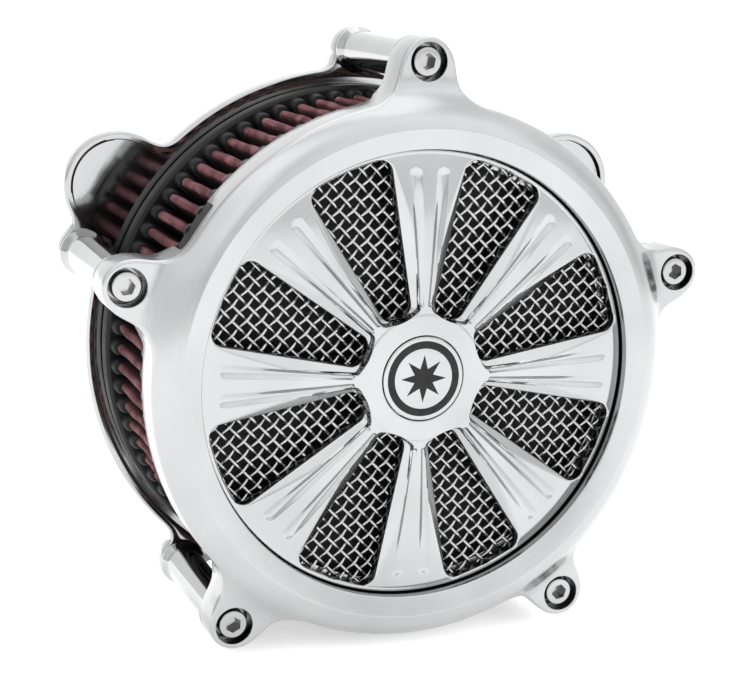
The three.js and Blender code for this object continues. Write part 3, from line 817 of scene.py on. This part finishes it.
def cover_ring():
    """The outer ring: a bevelled rim with a crease, and five ears that sweep out of it."""
    wall, bore, bottom, ear_rear, edge = 88.4, 87.1, 61.8, 58, 1.2
    disc = lobed_disc(87.8, EARS, 22)

    def outline(x, y):
        return soft_min(disc(x, y), np.hypot(x, y) - wall, 0.5)

    points, normals, _, radius = trace(outline, 0.6, 1.4, EARS)
    top = smoothed_section(TOP_SECTION, 81.5)

    def height(x, y):
        return np.interp(np.hypot(x, y), *top)

    def rim(inset, z):
        return inset_row(points, normals, inset, z)

    end = rim(edge, 0)
    end[:, 2] = height(*end[:, :2].T)
    inner = np.arctan2(end[:, 1], end[:, 0])
    low = bottom + (ear_rear - bottom) * smoothstep(88.9, 90.4, radius)
    edge_low = np.minimum(0.5, 0.4 * (radius - 88.3))
    rows = [circle_points(inner, bore, bottom), circle_points(inner, 88.2, bottom)]
    rows.append(circle_points(inner, 88.25, np.minimum(low, bottom - 0.01)))
    rows += [rim(edge_low * (1 - math.sin(t)), low + edge_low * (1 - math.cos(t))) for t in quarter(4)]
    shoulder = height(*points.T)
    rows.append(rim(0, (low + shoulder) / 2))
    start, corner = rim(0, shoulder - edge), rim(0, shoulder)
    for t in np.linspace(0, 1, 7):
        rows.append((1 - t) ** 2 * start + 2 * t * (1 - t) * corner + t * t * end)
    crease_r, crease_z = CREASE
    target = circle_points(inner, crease_r + 0.5, 0)
    for share in np.linspace(0, 1, 29)[1:]:
        p = end + (target - end) * share
        p[:, 2] = height(p[:, 0], p[:, 1])
        rows.append(p)
    inside = [
        (79.8, 79.49),
        (INSERT_RADIUS, 78.2, 0.55),
        (INSERT_RADIUS, 75.6),
        (INSERT_RADIUS, 68.4, 0.2),
        (70.5, 68.4, 0.3),
        (70.5, 66.7, 0.3),
        (bore, 66.7, 0.4),
        (bore, bottom + 1),
    ]
    crease = [(crease_r + 0.12, crease_z - 0.05), (crease_r, crease_z - 0.015), (80.1, crease_z - 0.03)]
    rows += [circle_points(inner, r, z) for r, z in [*crease, *rounded(inside, closed=False)]]
    faces = grid_faces(len(rows), len(points), wrap_rows=True)
    ring = stand_in("cover_ring", np.vstack(rows), faces, brushed, sharp=24)

    tools = []
    for i, (x, y, _) in enumerate(EARS):
        tools.append(drum(f"counterbore_{i}", 6.15, 61.6, 80, (x, y), 96, lip=70.52, spread=0.3))
        tools.append(drum(f"screw_hole_{i}", CLEARANCE, 50, 62, (x, y)))
    tools += [notch(f"notch_{a}", math.radians(a)) for a in (NOTCH_ANGLE, 180 - NOTCH_ANGLE)]
    boolean(ring, tools, sharp=24)

    # The ring's wall beside the insert and the notches' inner faces get near-black chrome: painted shade.
    def in_shadow(x, y, z, outward):
        r = math.hypot(x, y)
        off_notch = abs(math.atan2(y, abs(x)) - math.radians(NOTCH_ANGLE))
        beside_insert = 73 < r < INSERT_RADIUS + 0.1 and z < 75.7 and abs(outward) < 0.5
        return beside_insert or (85 < r < 88.3 and z < NOTCH_TOP + 0.1 and off_notch < 0.11)

    paint(ring, shadow_gap, in_shadow)


def notch(name, angle):
    """A cutter for the opening in the ring's wall that faces a breather lobe."""
    half, low, corner = 8.5, 50, 1.2
    section = [(-half, low)]
    for side in (-1, 1):
        for t in quarter(5)[::-side]:
            along, up = half - corner + corner * math.cos(t), NOTCH_TOP - corner + corner * math.sin(t)
            section.append((side * along, up))
    section.append((half, low))
    axis = np.array([math.cos(angle), math.sin(angle)])
    across = np.array([-axis[1], axis[0]])
    return between(name, *([(*(axis * r + across * u), z) for u, z in section] for r in (85.5, 95)))


# ---------------------------------------------------------------- face insert

HUB, RIM, REAR = 77.7, 74.5, 70.6  # heights
HUB_RADIUS, WINDOW_OUTER = 20.7, 71.8
SPOKES = 8
HALF_PITCH = math.pi / SPOKES
SPOKE_AT_AXIS, SPOKE_TAPER = -0.3, 0.192
OUTER_CORNER, INNER_CORNER = 4.1, 3.8

# Each spoke's two flutes: their reach, their half-width and offset at the hub and at the rim
FLUTE_FROM, FLUTE_TO, FLUTE_DEPTH = 23.2, 67.6, 1.2
FLUTE_HALF = (1.05, 2.4)
FLUTE_OFFSET = (1.55, 4.85)
FLUTE_START, FLUTE_END = FLUTE_FROM + FLUTE_HALF[0], FLUTE_TO - FLUTE_HALF[1]

INSERT_SCREW_CIRCLE = 65.5
INSERT_SCREW_ANGLES = (45, 135, 225, 315)


def window_distance(r, angle):
    """Distance to a window centred on angle 0, and how far it is measured towards the hub, 0 to 1."""
    x, side = r * np.cos(angle), np.abs(r * np.sin(angle))
    along = x * math.cos(HALF_PITCH) + side * math.sin(HALF_PITCH)
    across = x * math.sin(HALF_PITCH) - side * math.cos(HALF_PITCH)
    to_spoke = (SPOKE_AT_AXIS + SPOKE_TAPER * along - across) / math.hypot(1, SPOKE_TAPER)

    def corner(b, rounding):
        u, v = np.maximum(to_spoke + rounding, 0), np.maximum(b + rounding, 0)
        return np.minimum(np.maximum(to_spoke, b), -rounding) + np.hypot(u, v), u, v

    outer, _, _ = corner(r - WINDOW_OUTER, OUTER_CORNER)
    inner, u, v = corner(HUB_RADIUS - r, INNER_CORNER)
    hubward = np.where(inner >= outer, v / np.maximum(np.hypot(u, v), 1e-9), 0)
    return np.maximum(outer, inner), hubward


def dome(r):
    """The insert's domed height, with a shallow step down from the hub."""
    share = np.clip((r - HUB_RADIUS) / (WINDOW_OUTER - HUB_RADIUS), 0, 1)
    return HUB - 0.25 * smoothstep(20.3, 21.1, r) * (1 - share) - (HUB - RIM) * share**2


def flute_lines(r):
    """The two flutes' centre offset and half-width where the spoke is r from the axis."""
    t = np.clip((r - FLUTE_FROM) / (FLUTE_TO - FLUTE_FROM), 0, 1)
    return (first + (last - first) * t for first, last in (FLUTE_OFFSET, FLUTE_HALF))


def soft_ramp(t, width):
    """Zero below 0 and t above it, rounded in between."""
    return np.where(t > width, t, np.where(t < -width, 0, (t + width) ** 2 / (4 * width)))


def insert_height(r, angle):
    """Front surface of the insert, at an angle measured from a spoke's middle."""
    from_window, hubward = window_distance(r, HALF_PITCH - np.abs(angle))
    from_window = np.maximum(from_window, 0)
    hub_side = smoothstep(0.2, 1, hubward)
    ledge = 1.75 + 1.8 * np.clip((r - 24) / 21, 0, 3)
    ledge = ledge * (1 - hub_side) + 0.1 * hub_side
    steep = 2.4 * (1 - hub_side) + 6 * hub_side
    flank = RIM + 0.7 * from_window + steep * soft_ramp(from_window - ledge, 0.25)
    x, y = r * np.cos(angle), np.abs(r * np.sin(angle))
    offset, half = flute_lines(x)
    beyond = np.maximum(FLUTE_START - x, 0) + np.maximum(x - FLUTE_END, 0)
    d = np.hypot(y - offset, beyond) / half
    fade = 1 - 0.5 * smoothstep(46, FLUTE_TO, x)
    groove = FLUTE_DEPTH * fade * np.clip(1 - d**2, 0, 1) ** 1.4
    surface = soft_min(dome(r) - groove, flank, 0.3)
    return surface - 0.22 * np.clip(1 - from_window / 0.3, 0, 1) ** 2


def insert_stations():
    """Radii of the insert's rows, close together where its edges curve."""
    bend = 1 - np.cos(np.radians(np.arange(5, 91, 8.5)))
    hub = [15, 16.5, 18, 19.2, 19.7, 19.9, 20, 20.08, 20.16, 20.24, 20.32, 20.42, 20.52, 20.62]
    values = [
        hub,
        [HUB_RADIUS, WINDOW_OUTER],
        HUB_RADIUS + INNER_CORNER * bend,
        WINDOW_OUTER - OUTER_CORNER * bend,
        FLUTE_START - FLUTE_HALF[0] * np.cos(np.radians(np.arange(0, 91, 15))),
        FLUTE_END + FLUTE_HALF[1] * np.sin(np.radians(np.arange(0, 91, 12))),
        np.linspace(26, 64, 24),
        [72.1, 72.5, 72.9],
    ]
    values = np.sort(np.concatenate(values))
    return values[np.concatenate([[True], np.diff(values) > 0.012])]


def insert_columns(r, half_angle):
    """Angles of a row's points from a spoke's middle out to its edge, in line with the flutes."""
    reach = r * half_angle
    offset, half = flute_lines(r)
    right = np.array([0, 0.2, 0.45, 0.7, 0.9, 1, 1.04])
    flute = offset + half * np.concatenate([-right[:0:-1], right])
    flank = np.linspace(flute[-1], reach - 0.34, 22)[1:]
    edge = reach - np.array([0.24, 0.16, 0.08, 0.03, 0])
    return np.concatenate([[0], flute, flank, edge]) / r


def window_edge_angle(r):
    """Half the angle of a spoke at a radius, out to the windows beside it."""
    if not HUB_RADIUS + 1e-6 < r < WINDOW_OUTER - 1e-6:
        return HALF_PITCH
    low, high = 0.0, HALF_PITCH
    for _ in range(50):
        middle = (low + high) / 2
        if window_distance(np.full(1, r), middle)[0][0] < 0:
            low = middle
        else:
            high = middle
    return HALF_PITCH - high


def drop_walls(obj, z):
    """Closes a front surface into a solid: walls straight down from its edges, and a flat rear face."""
    rear_y = world([(0, 0, z)])[0][1]
    shell = bmesh.new()
    shell.from_mesh(obj.data)
    bmesh.ops.remove_doubles(shell, verts=shell.verts, dist=2e-6)
    rims = [e for e in shell.edges if e.is_boundary and e.verts[0].co.y < rear_y - 1e-4]
    for part in bmesh.ops.extrude_edge_only(shell, edges=rims)["geom"]:
        if isinstance(part, bmesh.types.BMVert):
            part.co.y = rear_y
    ends = [e for e in shell.edges if e.is_boundary]
    bmesh.ops.triangle_fill(shell, edges=ends, use_beauty=True)
    bmesh.ops.recalc_face_normals(shell, faces=shell.faces)
    shell.to_mesh(obj.data)
    shell.free()


def face_insert():
    """The insert: eight fluted spokes from a raised hub to a flat rim, and a recess for the badge."""
    recess = [(4.28, REAR), (4.3, 76.1), (13.9, 76.1), (14.08, 76.25)]
    recess += [(14.1, 77.5), (14.25, 77.65), (14.45, HUB)]
    edge = [(73.05, 74.46), (73.17, 74.3), (73.2, 74.1), (73.2, 70.9), (73.0, REAR)]
    rows = recess + [(r, None) for r in insert_stations()] + edge
    points = []
    for r, z in rows:
        right = insert_columns(max(r, 15), window_edge_angle(r))
        angles = np.concatenate([-right[::-1], right[1:]])
        heights = insert_height(np.full(len(angles), r), angles) if z is None else z
        points += [circle_points(angles + k * 2 * HALF_PITCH, r, heights) for k in range(SPOKES)]
    columns = len(points[0])
    faces = []
    for strip in range((len(rows) - 1) * SPOKES):
        a, b = strip * columns, (strip + SPOKES) * columns
        faces += [[a + j, a + j + 1, b + j + 1, b + j] for j in range(columns - 1)]
    insert = stand_in("face_insert", np.vstack(points), faces, polished)
    drop_walls(insert, REAR)
    places = on_circle(INSERT_SCREW_CIRCLE, INSERT_SCREW_ANGLES)
    boolean(insert, [drum(f"tapped_{i}", 1.75, 69, 73.5, p, 24) for i, p in enumerate(places)], sharp=28)

    # The windows' side walls get the darker chrome: painted shade.
    def in_window(x, y, z, outward):
        return 20 < math.hypot(x, y) < 72.5 and abs(outward) < 0.35 and z < 74.3

    paint(insert, painted_shade_chrome, in_window)


def insert_fixings():
    """Lugs on the ring's ledge and the slotted pan screws that hold the insert from behind."""
    half, nose, root = 4.5, 62, 71.5
    outline = [(root, -half), (root, half)]
    outline += [(nose + half - half * math.sin(t), half * math.cos(t)) for t in np.linspace(0, math.pi, 13)]
    pan = [(0, 64.5), (2.8, 64.9, 1.1), (2.8, 66.4, 0.2), (1.5, 66.4), (1.5, 73.2, 0.3), (0, 73.2)]
    pan = rounded(pan, closed=False)
    slot = [(-4, -0.4), (4, -0.4), (4, 0.4), (-4, 0.4)]
    finish = dict(material=brushed, body="front_cover", slot="plated_aluminium")
    for i, (c, s) in enumerate(on_circle(1, INSERT_SCREW_ANGLES), 1):
        x, y = INSERT_SCREW_CIRCLE * c, INSERT_SCREW_CIRCLE * s
        ring = [(u * c - v * s, u * s + v * c) for u, v in outline]
        lug = prism(f"insert_lug_{i}", ring, 66.7, 68.38, **finish)
        boolean(lug, [drum(f"lug_hole_{i}", 1.8, 60, 70, (x, y), 32)])
        obj = revolve(f"insert_screw_{i}", pan, 48, plated_steel, (x, y), closed=False)
        boolean(obj, [prism(f"slot_{i}", [(x + u, y + v) for u, v in slot], 64, 65.4)])


def wire_screen():
    """Woven wire cloth laid at 45 degrees behind the windows."""
    pitch, radius, crimp, middle, reach = 3.45, 0.57, 0.5, 69.5, 72.4
    diagonal = math.sqrt(0.5)
    points, faces = [], []
    count = int(reach / pitch)
    for family in (0, 1):
        lean = -1 if family else 1
        for k in range(-count, count + 1):
            offset = (k + 0.25) * pitch
            if abs(offset) > reach - 1:
                continue
            half = math.sqrt(reach**2 - offset**2)
            u = np.arange(-half, half, pitch / 7)
            z = middle + crimp * np.cos(math.pi * (u / pitch - 0.25 + k + family))
            path = np.stack([(u + offset) * diagonal, lean * (u - offset) * diagonal, z], axis=1)
            add_tube(points, faces, path, radius, 6)
    stand_in("wire_screen", np.vstack(points), faces, screen_wire, sharp=80)


def badge():
    """The centre badge with two inlays of black enamel: a plain ring and an eight-pointed star."""
    top, floor, enamel_top = 78.0, 77.1, 77.93
    groove = (9.95, 12.35)
    profile = [
        (0, 72),
        (4, 72, 0.4),
        (4, 76.4),
        (13.8, 76.4, 0.3),
        (13.8, top, 0.45),
        (groove[1], top, 0.08),
        (groove[1], floor),
        (groove[0], floor),
        (groove[0], top, 0.08),
        (0, top),
    ]
    disc = revolve("centre_badge", rounded(profile, closed=False), 192, polished, closed=False)
    boolean(disc, [piece("star_pocket", *star(0.05, floor, 79))])
    inner, outer = groove[0] + 0.02, groove[1] - 0.02
    inlay_floor = floor + 0.02
    ring = [(inner, inlay_floor), (outer, inlay_floor), (outer, enamel_top, 0.12), (inner, enamel_top, 0.12)]
    revolve("badge_ring_inlay", rounded(ring), 192, enamel)
    stand_in("badge_star_inlay", *star(0.02, inlay_floor, enamel_top), enamel)


def star(margin, z0, z1):
    """Points and faces of an eight-pointed star with straight sides."""
    radii = (7.8 + 2 * margin, 3.4 + margin)
    ring = [on_circle(radii[i % 2], [90 + 22.5 * i])[0] for i in range(16)]
    n = len(ring)
    points = [(x, y, z) for z in (z0, z1) for x, y in ring] + [(0, 0, z0), (0, 0, z1)]
    faces = list(grid_faces(2, n))
    for level in (0, 1):
        faces += [[2 * n + level, level * n + j, level * n + (j + 1) % n] for j in range(n)]
    return points, faces


def cover_screws():
    """The five screws in the ears and their washers."""
    washer = rounded([(3.5, 61.9, 0.1), (5.9, 61.9, 0.2), (5.9, 62.9, 0.3), (3.5, 62.9, 0.1)])
    for i, ((x, y, _), turn) in enumerate(zip(EARS, COVER_SCREW_TURNS), 1):
        screw(f"cover_screw_{i}", (x, y), turn=turn, **COVER_SCREW)
        revolve(f"cover_washer_{i}", washer, 64, plated_steel, (x, y))


# ---------------------------------------------------------------- camera, floor and light

# Direction, inner and outer half-angle of each soft source, and how much light it adds to the base
STUDIO_BASE = 0.8
STUDIO = [
    ((0.1, 0.1, 1), 35, 60, 0.6),
    ((-1, -0.35, 0.35), 30, 55, 0.6),
    ((0.36, 0.92, 0.1), 40, 75, 0.7),
    ((0.45, -0.9, 0.1), 20, 55, 0.5),
    ((0.1, -0.75, 0.65), 15, 50, 0.6),
    ((1, -0.3, 0.3), 20, 45, 0.5),
]


def camera():
    """The photograph's view, from the front left and a little above."""
    lens = bpy.data.cameras.new("camera")
    lens.lens = 85.084
    lens.sensor_width = 36
    obj = show("camera", lens)
    obj.rotation_euler = [math.radians(a) for a in (77.7655, -2.3673, -21.1504)]
    obj.location = world([(-218.07, 130.30, 578.96)])[0]
    bpy.context.scene.camera = obj


def floor():
    """A sheet of pale paper that glows a little, so that shadows stay faint."""
    half = 30
    mesh = bpy.data.meshes.new("floor")
    corners = [(-half, -half, 0), (half, -half, 0), (half, half, 0), (-half, half, 0)]
    mesh.from_pydata(corners, [], [(0, 1, 2, 3)])
    glow = dict(Emission_Color=(1, 1, 1, 1), Emission_Strength=0.5)
    paper = Surface("floor_paper", (0.97, 0.97, 0.97), 0.8, 0, **glow)
    shades = [(0.3, (0.96, 0.96, 0.96)), (0.7, (0.98, 0.98, 0.98))]
    paper.drive("Base Color", paper.ramp(paper.noise(3, 2), shades))
    mesh.materials.append(paper.material)
    obj = show("floor", mesh)


def studio():
    """A white room with soft sources above, behind, in front and at both sides."""
    sky = bpy.data.worlds.new("studio")
    sky.use_nodes = True
    room = Nodes(sky.node_tree)
    direction = room.node("ShaderNodeTexCoord", {}).outputs["Generated"]

    def beam(towards, inner, outer):
        """One inside a cone round a direction, zero outside it, with a soft edge between."""
        inputs = {0: direction, 1: Vector(towards).normalized()}
        dot = room.node("ShaderNodeVectorMath", inputs, operation="DOT_PRODUCT").outputs["Value"]
        low, high = math.cos(math.radians(outer)), math.cos(math.radians(inner))
        inputs = {"Value": dot, "From Min": low, "From Max": high}
        return room.node("ShaderNodeMapRange", inputs, interpolation_type="SMOOTHSTEP").outputs["Result"]

    total = STUDIO_BASE
    for towards, inner, outer, level in STUDIO:
        total = room.math("ADD", room.math("MULTIPLY", beam(towards, inner, outer), level), total)
    room.feed(sky.node_tree.nodes["Background"], {"Color": total, "Strength": 1.0})
    bpy.context.scene.world = sky


def area_light(name, place, target, side, power):
    """A square soft light that points at a target."""
    data = bpy.data.lights.new(name, "AREA")
    data.shape = "RECTANGLE"
    data.size = data.size_y = side
    data.energy = power
    obj = show(name, data)
    obj.location = place
    obj.rotation_euler = (Vector(target) - Vector(place)).to_track_quat("-Z", "Y").to_euler()


backplate()
posts()
intake()
breathers()
media()
end_caps()
inner_screen()
cover_ring()
face_insert()
insert_fixings()
wire_screen()
badge()
cover_screws()
camera()
floor()
studio()
area_light("key", (-0.9, -0.7, 1.1), (0, 0, 0.09), 1.3, 2)
area_light("top", (0.1, 0.2, 1.4), (0, 0, 0.09), 1.2, 4)

bpy.context.scene.view_settings.view_transform = "Standard"
